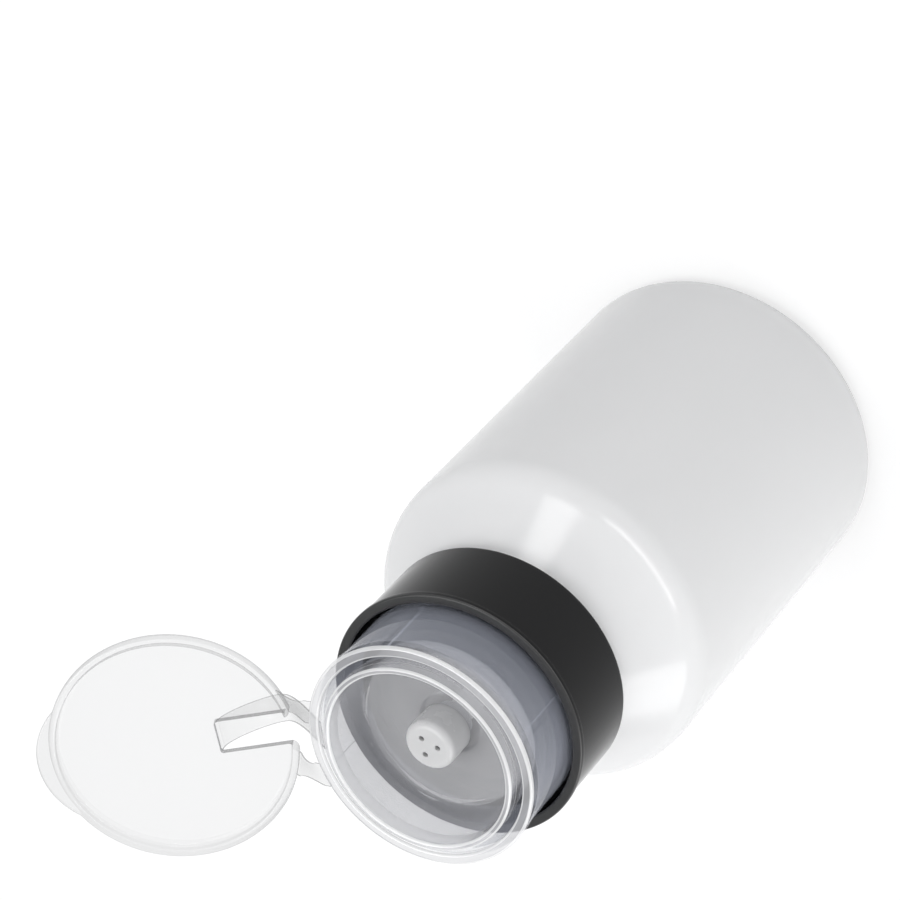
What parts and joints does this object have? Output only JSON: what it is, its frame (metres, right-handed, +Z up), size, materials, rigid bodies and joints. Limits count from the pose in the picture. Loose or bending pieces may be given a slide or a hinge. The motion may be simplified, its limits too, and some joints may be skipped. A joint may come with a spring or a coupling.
{
  "type": "pump bottle",
  "caption": "Push-down dispenser bottle: cylindrical translucent body, black screw collar, clear dish with a centre nozzle and a flip lid on a living hinge.",
  "frame": {"origin": "centre of the base, on the surface the bottle stands on", "axes": "+Z up along the bottle's axis; the lid hinges at the back on +Y and its thumb tab meets the front on -Y"},
  "size_m": [0.06, 0.0949, 0.1296],
  "materials": {
    "bottle_plastic": "translucent natural polyethylene, satin",
    "black_plastic": "glossy black polypropylene",
    "clear_plastic": "clear polypropylene, polished",
    "white_plastic": "natural white polypropylene",
    "gasket_foam": "white polyethylene foam",
    "spring_steel": "stainless spring wire",
    "ball_steel": "polished stainless steel"
  },
  "bodies": {
    "bottle": {"bottle": "bottle_plastic"},
    "pump": {"neck_gasket": "gasket_foam", "pump_housing": "white_plastic", "stem_guide": "black_plastic", "inlet_ball": "ball_steel", "dip_tube": "white_plastic", "return_spring": "spring_steel"},
    "collar": {"collar": "black_plastic"},
    "push_dish": {"dish_cup": "clear_plastic", "nozzle": "white_plastic", "outlet_ball": "ball_steel", "stem": "white_plastic", "piston": "white_plastic", "hinge_strap_left": "clear_plastic", "hinge_strap_right": "clear_plastic", "spring_tongue": "clear_plastic"},
    "lid": {"lid": "clear_plastic"}
  },
  "joints": [
    {"name": "pump_lift", "type": "slide", "parent": "bottle", "child": "pump", "axis": [0, 0, 1], "range_m": [0, 0.006]},
    {"name": "collar_turn", "type": "hinge", "parent": "pump", "child": "collar", "pos_m": [0, 0, 0.09], "axis": [0, 0, 1], "range_deg": [0, 540]},
    {"name": "dish_press", "type": "slide", "parent": "pump", "child": "push_dish", "axis": [0, 0, -1], "range_m": [0, 0.006], "stiffness_N_per_m": 1500, "deforming": ["return_spring"]},
    {"name": "lid_hinge", "type": "hinge", "parent": "push_dish", "child": "lid", "pos_m": [0, 0.02255, 0.1117], "axis": [1, 0, 0], "range_deg": [-20, 154.4], "deforming": ["hinge_strap_left", "hinge_strap_right", "spring_tongue"]}
  ],
  "couplings": [
    {"joint": "collar_turn", "follows": "pump_lift", "rad_per_m": 1570.8}
  ]
}
